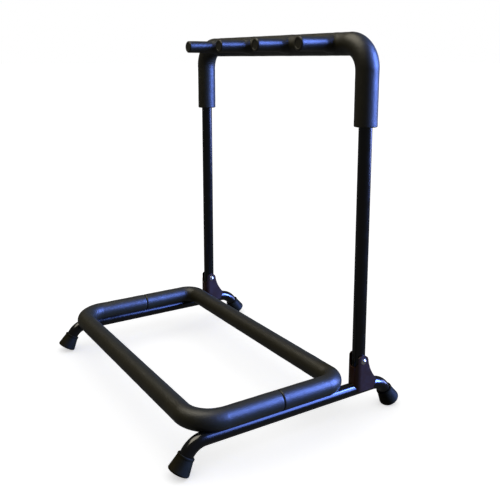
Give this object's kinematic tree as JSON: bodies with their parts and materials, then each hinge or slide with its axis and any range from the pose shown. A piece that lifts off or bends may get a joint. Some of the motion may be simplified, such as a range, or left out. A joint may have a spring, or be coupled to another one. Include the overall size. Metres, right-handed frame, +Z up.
{
  "type": "guitar rack",
  "caption": "Folding floor rack for guitars: bent tube legs with rubber feet, a foam-padded base loop and a foam-padded inverted-U upright with neck pegs.",
  "frame": {"origin": "on the floor, at the middle of the rectangle that the four feet stand on", "axes": "+Z up, +X to the right when seen from the player's side, -Y the player's side; the pegs point to -Y and the upright stands towards +Y"},
  "size_m": [0.4824, 0.382, 0.5522],
  "materials": {
    "black_paint": "gloss",
    "black_foam": "matte",
    "foot_rubber": "satin",
    "bright_rivet": "polished",
    "zinc_steel": "satin",
    "bare_tube": "satin",
    "black_plastic": "matte"
  },
  "bodies": {
    "base": {"left_floor_leg": "black_paint", "right_floor_leg": "black_paint", "front_left_foot": "foot_rubber", "front_right_foot": "foot_rubber", "rear_left_foot": "foot_rubber", "rear_right_foot": "foot_rubber", "left_hinge_bracket": "black_paint", "right_hinge_bracket": "black_paint", "left_hinge_rivet": "bright_rivet", "right_hinge_rivet": "bright_rivet", "loop_front_tube": "black_paint", "loop_rear_tube": "black_paint", "left_loop_joiner": "bare_tube", "right_loop_joiner": "bare_tube", "loop_front_foam": "black_foam", "loop_rear_foam": "black_foam", "loop_fixing_screws": "zinc_steel", "loop_threaded_inserts": "zinc_steel"},
    "upright": {"upright_tube": "black_paint", "upright_foam": "black_foam", "neck_peg_rod_1": "black_paint", "neck_peg_rod_2": "black_paint", "neck_peg_rod_3": "black_paint", "neck_peg_rod_4": "black_paint", "neck_peg_sleeve_1": "black_foam", "neck_peg_sleeve_2": "black_foam", "neck_peg_sleeve_3": "black_foam", "neck_peg_sleeve_4": "black_foam", "left_post_plug": "black_plastic", "right_post_plug": "black_plastic"}
  },
  "joints": [
    {"name": "upright_fold", "type": "hinge", "parent": "base", "child": "upright", "pos_m": [0, 0.1145, 0.0855], "axis": [1, 0, 0], "range_deg": [0, 90]}
  ]
}
